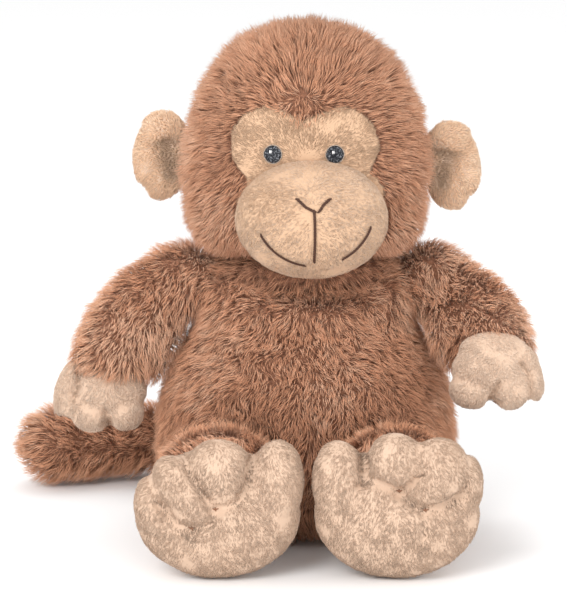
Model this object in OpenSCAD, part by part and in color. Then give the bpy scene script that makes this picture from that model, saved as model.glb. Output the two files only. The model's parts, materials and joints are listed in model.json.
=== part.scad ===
// Seated stuffed monkey: long-pile covers over loose stuffing, with short-pile face,
// ears, hands and feet. It sits on z = 0 and faces -Y. Its left side is +X.

/* [Torso] */
// Width of the torso over its pile
torso_w = 149; // [130:1:180]
// Depth of the torso, belly to back
torso_d = 124; // [108:1:150]
// Height of the torso, seat to neck
torso_h = 122; // [112:1:140]
// Thickness of the long-pile cover, backing and pressed pile
cover_t = 6; // [4:0.5:8]
// Thickness of the short-pile fabric
short_t = 3; // [2:0.5:4]
// Room between a cover and the stuffing in it
slack = 0.3; // [0.2:0.1:0.8]
// Running gap around the round end of each part that moves
hinge_gap = 1.6; // [1.4:0.1:2.2]

/* [Bean pouch] */
// Width of the pouch of pellets in the seat
pouch_w = 74; // [50:1:80]
// Depth of the pouch
pouch_d = 40; // [30:1:46]
// Height of the pouch
pouch_h = 24; // [16:1:30]

/* [Head] */
// Width of the head over its pile
head_w = 124; // [104:1:150]
// Depth of the head
head_d = 116; // [100:1:140]
// Height of the head
head_h = 117; // [104:1:140]
// Radius of the packed neck
neck_r = 18; // [15:1:22]
// Gap between torso and head, bridged by the neck
neck_gap = 6; // [5:0.5:10]
// Turn of the head to its left
head_yaw = -1.5; // [-10:0.5:10]
// Tilt of the head to its right
head_roll = 0; // [-5:0.5:5]

/* [Face] */
// Radius of each brow lobe of the face panel
brow_r = 17; // [14:0.5:20]
// Distance between the centres of the brow lobes
brow_span = 33; // [26:0.5:38]
// Height of the brow lobes above the head's underside
brow_z = 62; // [56:0.5:68]
// Radius of the notch between the lobes
notch_r = 5; // [3:0.5:7]
// Width of the muzzle
muzzle_w = 71; // [60:1:80]
// Height of the muzzle
muzzle_h = 54; // [46:1:60]
// How far the muzzle stands out in front of the head
muzzle_out = 17; // [12:0.5:24]
// Height of the muzzle's middle above the head's underside
muzzle_z = 30; // [27:0.5:34]
// Shift of the muzzle to the monkey's left
muzzle_shift = 4.5; // [-5:0.5:5]
// Diameter of an embroidered eye
eye_d = 8.4; // [6:0.2:11]
// Distance between the eyes
eye_span = 28.5; // [24:0.5:36]
// Height of the eyes above the head's underside
eye_z = 58.5; // [56:0.5:64]
// Diameter of the white stitch in each eye
glint_d = 1.8; // [1.4:0.1:2.6]
// Radius of the smile
smile_r = 27.5; // [22:0.5:30]
// Width of the embroidered nose and mouth lines
thread_w = 1.6; // [1.2:0.1:2.4]
// Height of the embroidery above the fabric
thread_t = 0.9; // [0.6:0.1:1.4]

/* [Ears] */
// Radius of an ear
ear_r = 20; // [16:0.5:24]
// Distance of an ear's middle from its straight root
ear_out = 4; // [2:0.5:7]
// Thickness of an ear at its rim
ear_t = 10; // [8:0.5:11]
// Depth of the hollow in front of an ear
ear_cup = 4; // [3:0.5:5]
// Height of the right ear above the head's underside
ear_right_z = 51; // [42:0.5:56]
// Height of the left ear above the head's underside
ear_left_z = 46.5; // [42:0.5:56]

/* [Arms] */
// Radius of an arm
arm_r = 20.5; // [17:0.5:23]
// How far the middle of a cuff lies outside the side of the torso
arm_out = 20; // [16:0.5:30]
// Drop of an arm, shoulder to cuff
arm_drop = 37; // [30:1:50]
// Reach of an arm forward
arm_front = 17; // [10:1:24]
// Rise of an arm past the shoulder before it drops
arm_hump = 5; // [0:0.5:8]
// Swing of the left arm forward from that
left_arm_swing = 40; // [0:1:44]
// Drop of the left arm toward the torso
left_arm_tuck = 13; // [0:1:16]
// Size of a hand compared with the pattern piece
hand_scale = 1; // [0.85:0.05:1.15]

/* [Legs] */
// Radius of a leg where it meets the torso
hip_r = 24; // [20:0.5:26]
// Radius of a leg above the foot
leg_r = 26; // [22:0.5:28]
// Distance between the hips
hip_span = 74; // [66:1:84]
// Length of a leg, hip to foot
leg_l = 36; // [32:1:46]
// Width of a foot
foot_w = 77; // [64:1:78]
// Height of a foot
foot_h = 62; // [54:1:72]
// Thickness of a foot
foot_t = 34; // [28:1:44]
// Distance of a foot's middle outside its hip
foot_out = 3.2; // [3:0.2:8]
// Spread of the right toes from the middle of the sole
toe_spread_right = 1; // [0.9:0.05:1.3]
// Spread of the left toes
toe_spread_left = 1.25; // [0.9:0.05:1.3]

/* [Tail] */
// Radius of the tail at the torso
tail_root_r = 17; // [14:0.5:18]
// Radius of the tail at its round end
tail_end_r = 21; // [17:0.5:22.5]
// Reach of the tail to the right
tail_reach = 120; // [100:1:140]
// Reach of the tail behind the torso
tail_back = 25; // [22:1:40]

/* [Hidden] */
LEFT = 1;
RIGHT = -1;
X_AXIS = [1, 0, 0];
Y_AXIS = [0, 1, 0];
Z_AXIS = [0, 0, 1];
NUDGE = 0.05;   // Hairline gap between embroidery and the fabric under it
WIDE = 200;     // Longer than any cut needs

BROWN = [0.70, 0.51, 0.40];
TAN = [0.87, 0.72, 0.58];
FILL = [0.95, 0.95, 0.93];
MUSLIN = [0.85, 0.82, 0.72];
THREAD = [0.30, 0.20, 0.16];
EYE = [0.13, 0.13, 0.16];

BIG_SIDES = 24;     // Sides of the torso and head
LIMB_SIDES = 16;    // Sides of a limb
FOOT_SIDES = 20;    // Sides of the pad of a foot
SOCKET_SIDES = 16;  // Sides of a round socket

LEG_LIFTS = [0, 10, 20];        // Travel of a leg, in steps
TAIL_SWINGS = [-12, -2, 8];     // Travel of the tail, in steps

// Outlines as [height share, width share]
TORSO_OUTLINE = [[0, 0.76], [0.04, 0.88], [0.12, 0.96], [0.26, 1], [0.4, 1], [0.52, 0.975],
    [0.64, 0.91], [0.76, 0.79], [0.87, 0.61], [0.94, 0.43], [1, 0.2]];
HEAD_OUTLINE = [[0, 0.3], [0.03, 0.56], [0.08, 0.79], [0.15, 0.92], [0.25, 0.985], [0.38, 1],
    [0.5, 0.985], [0.61, 0.93], [0.71, 0.85], [0.8, 0.755], [0.88, 0.635], [0.95, 0.45],
    [1, 0.17]];

function unit(v) = v / norm(v);
function mix(a, b, t) = a * (1 - t) + b * t;
function bend(p, t) = mix(mix(p[0], p[1], t), mix(p[1], p[2], t), t);
function heading(p, t) = unit(mix(p[1] - p[0], p[2] - p[1], t));

// One ring of n points round centre c, across direction d, with half-axes a and b
function ring(c, d, a, b, n, ref) =
    let (u = unit(cross(ref, d)), v = cross(d, u))
    [for (i = [0 : n - 1]) c + a * cos(360 * i / n) * u + b * sin(360 * i / n) * v];

// Closed skin through a stack of equal rings
module loft(rings) {
    n = len(rings[0]);
    last = (len(rings) - 1) * n;
    walls = [for (j = [0 : n : last - n], i = [0 : n - 1])
        let (a = j + i, b = j + (i + 1) % n)
        each [[a, b + n, b], [a, a + n, b + n]]];
    ends = [[for (i = [0 : n - 1]) i], [for (i = [n - 1 : -1 : 0]) last + i]];
    polyhedron([for (r = rings) each r], concat(walls, ends));
}

// Faceted ellipsoid
module egg(c, r, n = LIMB_SIDES) {
    step = 360 / n;
    loft([for (a = [-90 + step / 2 : step : 90])
        ring(c + [0, 0, r.z * sin(a)], Z_AXIS, r.x * cos(a), r.y * cos(a), n, Y_AXIS)]);
}

module socket(c, r) {
    egg(c, [1, 1, 1] * (r + hinge_gap), SOCKET_SIDES);
}

// Upright sac through an outline, larger by grow on every side
module sac(outline, size, base, grow) {
    loft([for (o = outline)
        ring(base + [0, 0, o[0] * (size.z + 2 * grow) - grow], Z_AXIS,
            (size.x / 2 + grow) * o[1], (size.y / 2 + grow) * o[1], BIG_SIDES, Y_AXIS)]);
}

// Tube along a bent path p with radii r along it, round at both ends.
// blunt is the length of the far end as a share of its radius.
module limb(p, r, grow, blunt, ref) {
    spans = len(r) - 1;
    start = r[0] + grow;
    end = r[spans] + grow;
    tip = r[spans] * blunt + grow;
    loft(concat(
        [for (a = [14, 38, 64])
            ring(p[0] - heading(p, 0) * start * cos(a), heading(p, 0),
                start * sin(a), start * sin(a), LIMB_SIDES, ref)],
        [for (i = [0 : spans])
            ring(bend(p, i / spans), heading(p, i / spans), r[i] + grow, r[i] + grow,
                LIMB_SIDES, ref)],
        [for (a = [64, 38, 14])
            ring(p[2] + heading(p, 1) * tip * cos(a), heading(p, 1),
                end * sin(a), end * sin(a), LIMB_SIDES, ref)]));
}

// Torso

neck = [0, 0, torso_h + neck_gap / 3];
head_base = [0, -3, torso_h + neck_gap];
hip_z = 30;
hip_inset = 12;         // From the front of the belly back to the hips
shoulder_sink = 7;      // From the top of the torso down to the shoulders
shoulder_bite = 5.5;    // Depth of an arm's round end in the torso
shoulder_z = torso_h - shoulder_sink;
head_room = arm_r + hinge_gap;  // From a shoulder to the skin of the head
// Least distance of a shoulder from the middle that clears the head
past_head = max([for (o = HEAD_OUTLINE)
    let (rise = head_base.z + o[0] * head_h - shoulder_z)
    abs(rise) < head_room ? head_w / 2 * o[1] + sqrt(head_room ^ 2 - rise ^ 2) : 0]);
shoulder_out =
    max(torso_w / 2 * lookup(0.9, TORSO_OUTLINE) + arm_r - shoulder_bite, past_head);
tail_root = [-8, torso_d / 2 - 3, 25];

function hip(side) = [side * hip_span / 2, hip_inset - torso_d / 2, hip_z];
function shoulder(side) = [side * shoulder_out, 3, shoulder_z];

module torso_sac(grow) {
    sac(TORSO_OUTLINE, [torso_w, torso_d, torso_h], [0, 0, 0], grow);
}

// Room for the limbs over their travel
module torso_sockets() {
    socket(neck, neck_r);
    socket(tail_root, tail_root_r);
    for (swing = TAIL_SWINGS)
        translate(tail_root) rotate(swing) translate(-tail_root) tail_base_sac(hinge_gap);
    for (side = [LEFT, RIGHT]) {
        socket(shoulder(side), arm_r);
        socket(hip(side), hip_r);
        for (lift = LEG_LIFTS)
            in_leg(side) rotate([-lift, 0, 0]) leg_sac(hinge_gap);
    }
}

module torso_cover() {
    color(BROWN) difference() {
        torso_sac(0);
        torso_sac(-cover_t);
        torso_sockets();
    }
}

pouch_c = [0, 8, cover_t + pouch_h / 2 + 1];   // Low in the seat, toward the back

module pouch(grow) {
    egg(pouch_c, [pouch_w, pouch_d, pouch_h] / 2 + [1, 1, 1] * grow);
}

module torso_stuffing() {
    color(FILL) difference() {
        torso_sac(-cover_t - slack);
        torso_sockets();
        pouch(slack);
    }
}

module bean_pouch() {
    color(MUSLIN) pouch(0);
}

module neck_stuffing() {
    color(FILL) egg(neck, [1, 1, 1] * neck_r, SOCKET_SIDES);
}

// Head

head_front = head_base.y - head_d / 2;
muzzle_r = [muzzle_w / 2, 28, muzzle_h / 2];
muzzle_c = [muzzle_shift, head_front - muzzle_out + muzzle_r.y, head_base.z + muzzle_z];

module in_head() {
    translate(neck) rotate([0, head_roll, head_yaw]) translate(-neck) children();
}

module head_sac(grow) {
    sac(HEAD_OUTLINE, [head_w, head_d, head_h], head_base, grow);
}

module muzzle(grow) {
    egg(muzzle_c, muzzle_r + [1, 1, 1] * grow, BIG_SIDES);
}

// Prism that runs forward from depth y, from an outline drawn as [x, z]
module face_prism(y = head_base.y) {
    translate([0, y, 0]) rotate([90, 0, 0]) linear_extrude(WIDE) children();
}

// Face panel's outline: two lobes joined across the brow, with a notch between them
module face_outline(grow) {
    r = brow_r + grow;
    half = brow_span / 2;
    c = head_base.z + brow_z;
    difference() {
        polygon(concat(
            [for (a = [-90 : 15 : 90]) [half + r * cos(a), c + r * sin(a)]],
            [for (a = [90 : 15 : 270]) [-half + r * cos(a), c + r * sin(a)]]));
        translate([0, c + brow_r]) circle(notch_r - grow, $fn = 12);
    }
}

module head_cover() {
    color(BROWN) in_head() difference() {
        head_sac(0);
        head_sac(-cover_t);
        face_prism() face_outline(slack);
        muzzle(slack);
        socket(neck, neck_r);
        for (side = [LEFT, RIGHT])
            ear_slot(side);
    }
}

module head_stuffing() {
    color(FILL) in_head() difference() {
        head_sac(-cover_t - slack);
        socket(neck, neck_r);
        for (side = [LEFT, RIGHT])
            ear_slot(side);
    }
}

module face_panel() {
    color(TAN) in_head() intersection() {
        difference() {
            head_sac(short_t - cover_t);
            head_sac(-cover_t);
            muzzle(slack);
        }
        face_prism() face_outline(0);
    }
}

module muzzle_cover() {
    color(TAN) in_head() difference() {
        muzzle(0);
        muzzle(-short_t);
        head_sac(-cover_t);
    }
}

module muzzle_stuffing() {
    color(FILL) in_head() difference() {
        muzzle(-short_t - slack);
        head_sac(-cover_t);
    }
}

// Round patch of thread on the face panel at [x, z], from one height over it to another
module face_patch(at, d, low, high) {
    skin = short_t - cover_t + NUDGE;
    difference() {
        intersection() {
            face_prism() translate(at) circle(d = d, $fn = 12);
            head_sac(skin + high);
        }
        head_sac(skin + low);
    }
}

GLINT_SHIFT = [-1, 1.2];    // From the middle of an eye to its white stitch

function eye_at(side) = [side * eye_span / 2, head_base.z + eye_z];

module eye(side) {
    color(EYE) in_head() difference() {
        face_patch(eye_at(side), eye_d, 0, thread_t);
        muzzle(slack);
    }
}

module eye_glints() {
    color("white") in_head() for (side = [LEFT, RIGHT])
        face_patch(eye_at(side) + GLINT_SHIFT, glint_d, thread_t + NUDGE, 1.5 * thread_t);
}

// Flat line of thread through points given as [x, z] from the muzzle's middle
module stitch_line(points) {
    for (i = [0 : len(points) - 2]) {
        step = points[i + 1] - points[i];
        translate(points[i]) rotate(atan2(step.y, step.x))
            translate([-thread_w / 2, -thread_w / 2]) square([norm(step) + thread_w, thread_w]);
    }
}

module muzzle_stitches() {
    color(THREAD) in_head() intersection() {
        difference() {
            muzzle(NUDGE + thread_t);
            muzzle(NUDGE);
        }
        face_prism(muzzle_c.y) translate([muzzle_c.x, muzzle_c.z]) children();
    }
}

// Points of the embroidery from the muzzle's middle
NOSE_LINE = [[-7, 12], [0, 7], [0, -18]];
NOSTRIL_LINE = [[6.5, 12], [2, 7]];
SMILE_ANGLES = [30 : 9 : 84];
smile_top = 8;

module nose_stitch() {
    muzzle_stitches() {
        stitch_line(NOSE_LINE);
        stitch_line(NOSTRIL_LINE);
    }
}

module mouth_stitch() {
    muzzle_stitches() for (side = [LEFT, RIGHT])
        stitch_line([for (a = SMILE_ANGLES)
            [side * smile_r * cos(a), smile_top - smile_r * sin(a)]]);
}

// Ears

function ear_z(side) = head_base.z + (side == LEFT ? ear_left_z : ear_right_z);
function ear_share(side) = lookup((ear_z(side) - head_base.z) / head_h, HEAD_OUTLINE);
ear_sink = 3;       // Depth of the ear's root below the head's skin
ear_back_y = 3;     // Seam line of the ears, behind the middle of the head

function ear_root(side) =
    [side * (head_w / 2 * ear_share(side) - ear_sink), ear_back_y, ear_z(side)];
function ear_middle(side) = ear_root(side) + [side * ear_out, 0, 0];

module ear_slot(side) {
    translate(ear_root(side) - [0, 0, ear_r + hinge_gap])
        cylinder(h = 2 * (ear_r + hinge_gap), r = ear_t / 2 + 2 * hinge_gap, $fn = 12);
}

EAR_SELVAGE = 2;    // Fabric of the ear inside the line of its root

// Round ear with its straight root in the slot, larger by grow on every side
module ear_body(side, grow) {
    root = ear_root(side);
    intersection() {
        egg(ear_middle(side), [ear_r + grow, ear_t / 2 + grow, ear_r + grow], BIG_SIDES);
        translate([root.x - (side == LEFT ? grow + EAR_SELVAGE : WIDE - grow - EAR_SELVAGE),
            -WIDE / 2, 0]) cube([WIDE, WIDE, 2 * WIDE]);
    }
}

module ear_front_half(side, gap) {
    translate([-WIDE / 2, ear_root(side).y - gap - WIDE, 0]) cube([WIDE, WIDE, 2 * WIDE]);
}

module ear_front(side) {
    color(TAN) in_head() difference() {
        intersection() {
            ear_body(side, 0);
            ear_front_half(side, 0);
        }
        translate([side * ear_r * 0.35, -ear_t / 2, 0])
            egg(ear_middle(side), [ear_r * 0.6, ear_cup, ear_r * 0.65]);
    }
}

module ear_back(side) {
    color(TAN) in_head() difference() {
        ear_body(side, 0);
        ear_front_half(side, -slack);
    }
}

// Arms, drawn from the shoulder and pointing to the right

arm_reach = torso_w / 2 + arm_out - shoulder_out;
ARM_PATH = [[0, 0, 0], [-0.75 * arm_reach, -0.3 * arm_front, arm_hump],
    [-arm_reach, -arm_front, -arm_drop]];
ARM_RADII = [1, 1, 1.02, 1.06, 1.1] * arm_r;
cuff = ARM_PATH[2];

// Palm, two fingers and thumb as [centre from the cuff, half-sizes]
HAND_LUMPS = [[[-1, -2, -10], [20, 13.5, 19]], [[-7, -3, -18], [11.5, 12, 12]],
    [[9, -3, -17], [11, 12, 11.5]], [[-17, -3, -11], [8.5, 10, 13]]];

module in_arm(side) {
    turn = side == LEFT ? [-left_arm_swing, left_arm_tuck, 0] : [0, 0, 0];
    translate(shoulder(side)) rotate(turn) mirror([side == LEFT ? 1 : 0, 0, 0]) children();
}

module arm_sac(grow) {
    limb(ARM_PATH, ARM_RADII, grow, 0.45, Y_AXIS);
}

module hand_lumps(grow) {
    for (lump = HAND_LUMPS)
        egg(cuff + lump[0] * hand_scale, lump[1] * hand_scale + [1, 1, 1] * grow);
}

module arm_cover(side) {
    color(BROWN) in_arm(side) difference() {
        arm_sac(0);
        arm_sac(-cover_t);
    }
}

module arm_stuffing(side) {
    color(FILL) in_arm(side) arm_sac(-cover_t - slack);
}

module hand_cover(side) {
    color(TAN) in_arm(side) difference() {
        hand_lumps(0);
        hand_lumps(-short_t);
        arm_sac(slack);
    }
}

module hand_stuffing(side) {
    color(FILL) in_arm(side) difference() {
        hand_lumps(-short_t - slack);
        arm_sac(slack);
    }
}

// Legs, drawn from the hip and pointing forward

LEG_PATH = [[0, 0, 0], [0, -leg_l / 2, 0], [0, -leg_l, leg_r - hip_z + 1]];
LEG_RADII = [hip_r, mix(hip_r, leg_r, 0.3), mix(hip_r, leg_r, 0.8), leg_r];
foot_c = [foot_out, -leg_l - foot_t / 2, foot_h / 2 - hip_z];

// Inner, middle and outer toe as [offset from the sole's middle, half-sizes]
TOES = [[[-26, -2, 14], [12.5, 15, 15]], [[1.5, -7, 19], [15.5, 14, 15]],
    [[17, -7, 12], [15.5, 14, 16]]];
// Where thread tacks hold the toes down, from the sole's middle
TACKS = [[1, -18.5, 4.6], [12, -17.5, -4.4]];
TACK = [2.2, 3, 1.6];
TACK_RISE = 32;     // Rise of the tacks for a spread of the toes by 1

function toe_spread(side) = side == LEFT ? toe_spread_left : toe_spread_right;

module in_leg(side) {
    translate(hip(side)) mirror([side == LEFT ? 0 : 1, 0, 0]) children();
}

module leg_sac(grow) {
    limb(LEG_PATH, LEG_RADII, grow, 0.4, Z_AXIS);
}

module foot_lumps(side, grow) {
    wide = [1, 1, 1] * grow;
    egg(foot_c, [foot_w, foot_t, foot_h] / 2 + wide, FOOT_SIDES);
    for (toe = TOES) {
        spread = toe_spread(side);
        egg(foot_c + [toe[0].x, toe[0].y, toe[0].z * spread], toe[1] + wide);
    }
}

module leg_cover(side) {
    color(BROWN) in_leg(side) difference() {
        leg_sac(0);
        leg_sac(-cover_t);
    }
}

module leg_stuffing(side) {
    color(FILL) in_leg(side) leg_sac(-cover_t - slack);
}

module foot_cover(side) {
    color(TAN) in_leg(side) difference() {
        foot_lumps(side, 0);
        foot_lumps(side, -short_t);
        leg_sac(slack);
    }
}

module foot_stuffing(side) {
    color(FILL) in_leg(side) difference() {
        foot_lumps(side, -short_t - slack);
        leg_sac(slack);
    }
}

module foot_tacks(side) {
    color(THREAD) in_leg(side) difference() {
        for (tack = TACKS)
            egg(foot_c + tack + [0, 0, (toe_spread(side) - 1) * TACK_RISE], TACK);
        foot_lumps(side, NUDGE);
    }
}

// Tail, in two lengths that meet in a ball joint

tail_mid = tail_root + [-tail_reach / 2, tail_back, -4];
tail_tip = [tail_root.x - tail_reach, tail_root.y + tail_back / 3, tail_end_r];
TAIL_BASE_PATH = [tail_root, tail_root + [-tail_reach / 8, tail_back, 0], tail_mid];
TAIL_END_PATH = [tail_mid, tail_mid + [-tail_reach / 4, 0, 0], tail_tip];
tail_mid_r = mix(tail_root_r, tail_end_r, 0.5);
TAIL_BASE_RADII = [tail_root_r, tail_root_r, tail_mid_r];
TAIL_END_RADII = [tail_mid_r, mix(tail_mid_r, tail_end_r, 0.6), tail_end_r];

module tail_base_sac(grow) {
    limb(TAIL_BASE_PATH, TAIL_BASE_RADII, grow, 0.3, Z_AXIS);
}

module tail_end_sac(grow) {
    limb(TAIL_END_PATH, TAIL_END_RADII, grow, 0.9, Z_AXIS);
}

module tail_base_cover() {
    color(BROWN) difference() {
        tail_base_sac(0);
        tail_base_sac(-cover_t);
        socket(tail_mid, tail_mid_r);
    }
}

module tail_base_stuffing() {
    color(FILL) difference() {
        tail_base_sac(-cover_t - slack);
        socket(tail_mid, tail_mid_r);
    }
}

module tail_end_cover() {
    color(BROWN) difference() {
        tail_end_sac(0);
        tail_end_sac(-cover_t);
    }
}

module tail_end_stuffing() {
    color(FILL) tail_end_sac(-cover_t - slack);
}

torso_cover();
torso_stuffing();
bean_pouch();
neck_stuffing();
head_cover();
head_stuffing();
face_panel();
muzzle_cover();
muzzle_stuffing();
eye(LEFT);  // eye_left
eye(RIGHT);  // eye_right
eye_glints();
nose_stitch();
mouth_stitch();
ear_front(LEFT);  // ear_left_front
ear_back(LEFT);  // ear_left_back
ear_front(RIGHT);  // ear_right_front
ear_back(RIGHT);  // ear_right_back
arm_cover(LEFT);  // arm_left_cover
arm_stuffing(LEFT);  // arm_left_stuffing
hand_cover(LEFT);  // hand_left_cover
hand_stuffing(LEFT);  // hand_left_stuffing
arm_cover(RIGHT);  // arm_right_cover
arm_stuffing(RIGHT);  // arm_right_stuffing
hand_cover(RIGHT);  // hand_right_cover
hand_stuffing(RIGHT);  // hand_right_stuffing
leg_cover(LEFT);  // leg_left_cover
leg_stuffing(LEFT);  // leg_left_stuffing
foot_cover(LEFT);  // foot_left_cover
foot_stuffing(LEFT);  // foot_left_stuffing
foot_tacks(LEFT);  // foot_left_tacks
leg_cover(RIGHT);  // leg_right_cover
leg_stuffing(RIGHT);  // leg_right_stuffing
foot_cover(RIGHT);  // foot_right_cover
foot_stuffing(RIGHT);  // foot_right_stuffing
foot_tacks(RIGHT);  // foot_right_tacks
tail_base_cover();
tail_base_stuffing();
tail_end_cover();
tail_end_stuffing();
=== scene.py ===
"""Seated stuffed monkey: sewn skins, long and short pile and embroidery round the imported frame."""
import math

import json

import bpy
import numpy as np
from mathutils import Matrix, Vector, kdtree
from mathutils.bvhtree import BVHTree


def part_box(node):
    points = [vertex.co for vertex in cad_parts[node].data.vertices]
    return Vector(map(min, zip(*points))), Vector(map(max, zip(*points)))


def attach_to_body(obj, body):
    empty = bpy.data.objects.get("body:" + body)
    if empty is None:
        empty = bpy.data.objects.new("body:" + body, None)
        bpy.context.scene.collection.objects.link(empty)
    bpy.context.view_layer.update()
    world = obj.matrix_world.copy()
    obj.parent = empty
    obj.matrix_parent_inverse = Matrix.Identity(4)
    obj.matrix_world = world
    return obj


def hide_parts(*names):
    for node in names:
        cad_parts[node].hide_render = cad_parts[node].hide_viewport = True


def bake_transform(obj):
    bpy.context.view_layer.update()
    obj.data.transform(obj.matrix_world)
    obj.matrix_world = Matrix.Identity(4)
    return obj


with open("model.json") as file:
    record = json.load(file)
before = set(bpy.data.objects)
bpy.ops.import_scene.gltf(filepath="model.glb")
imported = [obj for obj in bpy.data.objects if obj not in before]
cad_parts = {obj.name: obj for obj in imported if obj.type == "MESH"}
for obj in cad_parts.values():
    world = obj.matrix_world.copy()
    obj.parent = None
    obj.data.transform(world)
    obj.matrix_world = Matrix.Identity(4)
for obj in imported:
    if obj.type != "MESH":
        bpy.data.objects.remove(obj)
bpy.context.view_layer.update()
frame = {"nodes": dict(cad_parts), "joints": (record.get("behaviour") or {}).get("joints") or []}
scene = bpy.context.scene
MM = 0.001
SIDES = {"left": 1, "right": -1}
JOINTS = {j["name"]: np.array(j["pos_m"]) for j in frame["joints"]}


# ---------------------------------------------------------------- camera and light

def vec(*v):
    return np.array(v, float)


def unit(v):
    v = np.asarray(v, float)
    return v / np.maximum(np.linalg.norm(v, axis=-1, keepdims=True), 1e-9)


def aim(ob, at):
    ob.rotation_mode = "QUATERNION"
    ob.rotation_quaternion = (Vector(at) - ob.location).to_track_quat("-Z", "Y")


CAMERA_TARGET = vec(-0.0108, 0, 0.1086)
CAMERA_DISTANCE = 1.5
CAMERA_ELEVATION = math.radians(11)
FLOOR_HALF = 6
LIGHT_TARGET = (0, 0, 0.1)


def add_camera():
    data = bpy.data.cameras.new("camera")
    data.sensor_fit = "HORIZONTAL"
    data.sensor_width = 36
    data.lens = 198.4
    data.clip_start, data.clip_end = 0.1, 20
    ob = bpy.data.objects.new("camera", data)
    scene.collection.objects.link(ob)
    ob.location = CAMERA_TARGET + CAMERA_DISTANCE * vec(
        0, -math.cos(CAMERA_ELEVATION), math.sin(CAMERA_ELEVATION))
    aim(ob, CAMERA_TARGET)
    scene.camera = ob


def add_light(name, place, size, power):
    data = bpy.data.lights.new(name, "AREA")
    data.shape = "DISK"
    data.size = size
    data.energy = power
    ob = bpy.data.objects.new(name, data)
    scene.collection.objects.link(ob)
    ob.location = place
    aim(ob, LIGHT_TARGET)


def add_stage():
    world = bpy.data.worlds.new("studio")
    world.use_nodes = True
    world.node_tree.nodes["Background"].inputs["Color"].default_value = (1, 1, 1, 1)
    world.node_tree.nodes["Background"].inputs["Strength"].default_value = 1.0
    scene.world = world
    scene.view_settings.view_transform = "Standard"
    add_light("key", (-0.8, -1.5, 1.1), 1.0, 24)
    add_light("fill", (1.1, -1.4, 0.5), 1.2, 9)
    add_light("top", (0, 0.5, 1.5), 1.2, 3)
    me = bpy.data.meshes.new("floor")
    s = FLOOR_HALF
    me.from_pydata([(-s, -s, 0), (s, -s, 0), (s, s, 0), (-s, s, 0)], [], [(0, 1, 2, 3)])
    floor = bpy.data.objects.new("floor", me)
    scene.collection.objects.link(floor)
    m = bpy.data.materials.new("floor_paper")
    m.use_nodes = True
    b = m.node_tree.nodes["Principled BSDF"]
    b.inputs["Base Color"].default_value = (0.95, 0.95, 0.95, 1)
    b.inputs["Roughness"].default_value = 0.9
    me.materials.append(m)


# ---------------------------------------------------------------- mesh helpers

PRESSURE = 4
PUFF_FRAMES = 20


def coords(ob):
    co = np.empty(len(ob.data.vertices) * 3)
    ob.data.vertices.foreach_get("co", co)
    return co.reshape(-1, 3)


def set_coords(ob, co):
    ob.data.vertices.foreach_set("co", np.asarray(co, np.float32).ravel())
    ob.data.update()


def normals(ob):
    n = np.empty(len(ob.data.vertices) * 3)
    ob.data.vertices.foreach_get("normal", n)
    return n.reshape(-1, 3)


def new_object(name, co, faces):
    me = bpy.data.meshes.new(name)
    me.from_pydata(np.asarray(co).tolist(), [], [list(map(int, f)) for f in faces])
    me.update()
    ob = bpy.data.objects.new(name, me)
    scene.collection.objects.link(ob)
    return ob


def settle(ob):
    """Applies every modifier."""
    bpy.context.view_layer.update()
    me = bpy.data.meshes.new_from_object(ob.evaluated_get(bpy.context.evaluated_depsgraph_get()))
    ob.modifiers.clear()
    ob.data = me
    me.name = ob.name
    return ob


def node_arrays(node):
    me = frame["nodes"][node].data
    co = np.empty(len(me.vertices) * 3)
    me.vertices.foreach_get("co", co)
    return co.reshape(-1, 3), [tuple(p.vertices) for p in me.polygons]


def egg(c, r, turn=None, n=32):
    """Fine ellipsoid with its poles on z, turned by a matrix about its middle."""
    rings = n // 2
    a = np.pi * (np.arange(rings) + 0.5) / rings - np.pi / 2
    b = 2 * np.pi * np.arange(n) / n
    co = np.stack([np.outer(np.cos(a), np.cos(b)), np.outer(np.cos(a), np.sin(b)),
                   np.outer(np.sin(a), np.ones(n))], -1).reshape(-1, 3) * r
    if turn is not None:
        co = co @ np.asarray(turn).T
    faces = [(j * n + i, j * n + (i + 1) % n, (j + 1) * n + (i + 1) % n, (j + 1) * n + i)
             for j in range(rings - 1) for i in range(n)]
    faces += [tuple(range(n))[::-1], tuple(range((rings - 1) * n, rings * n))]
    return co + c, faces


def merged(name, parts, voxel, smooth):
    """One closed skin round all the parts."""
    cos, faces, k = [], [], 0
    for co, fa in parts:
        cos.append(co)
        faces += [[i + k for i in f] for f in fa]
        k += len(co)
    ob = new_object(name, np.concatenate(cos), faces)
    m = ob.modifiers.new("remesh", "REMESH")
    m.mode, m.voxel_size = "VOXEL", voxel
    settle(ob)
    if smooth:
        m = ob.modifiers.new("smooth", "SMOOTH")
        m.factor, m.iterations = 0.5, smooth
        settle(ob)
    ob.data.shade_smooth()
    return ob


def puff(ob, cap, pinned=None):
    """Fills a skin with stuffing: cloth under pressure, with its motion capped."""
    start = coords(ob)
    group = None
    if pinned is not None:
        group = ob.vertex_groups.new(name="sewn")
        for i, w in enumerate(pinned):
            if w > 0.01:
                group.add([i], float(w), "REPLACE")
    m = ob.modifiers.new("cloth", "CLOTH")
    m.settings.use_pressure = True
    m.settings.uniform_pressure_force = PRESSURE
    m.settings.effector_weights.gravity = 0
    m.settings.quality = 4
    m.settings.mass = 0.3
    m.settings.tension_stiffness = 15
    m.settings.compression_stiffness = 15
    m.settings.bending_stiffness = 0.5
    m.collision_settings.use_collision = False
    if group:
        m.settings.vertex_group_mass = group.name
    m.point_cache.frame_start, m.point_cache.frame_end = 1, PUFF_FRAMES
    for f in range(1, PUFF_FRAMES + 1):
        scene.frame_set(f)
    settle(ob)
    scene.frame_set(1)
    move = coords(ob) - start
    size = np.linalg.norm(move, axis=1, keepdims=True)
    set_coords(ob, start + move * np.minimum(1, cap / np.maximum(size, 1e-9)))
    ob.vertex_groups.clear()


add_camera()
add_stage()


# ---------------------------------------------------------------- materials

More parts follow.
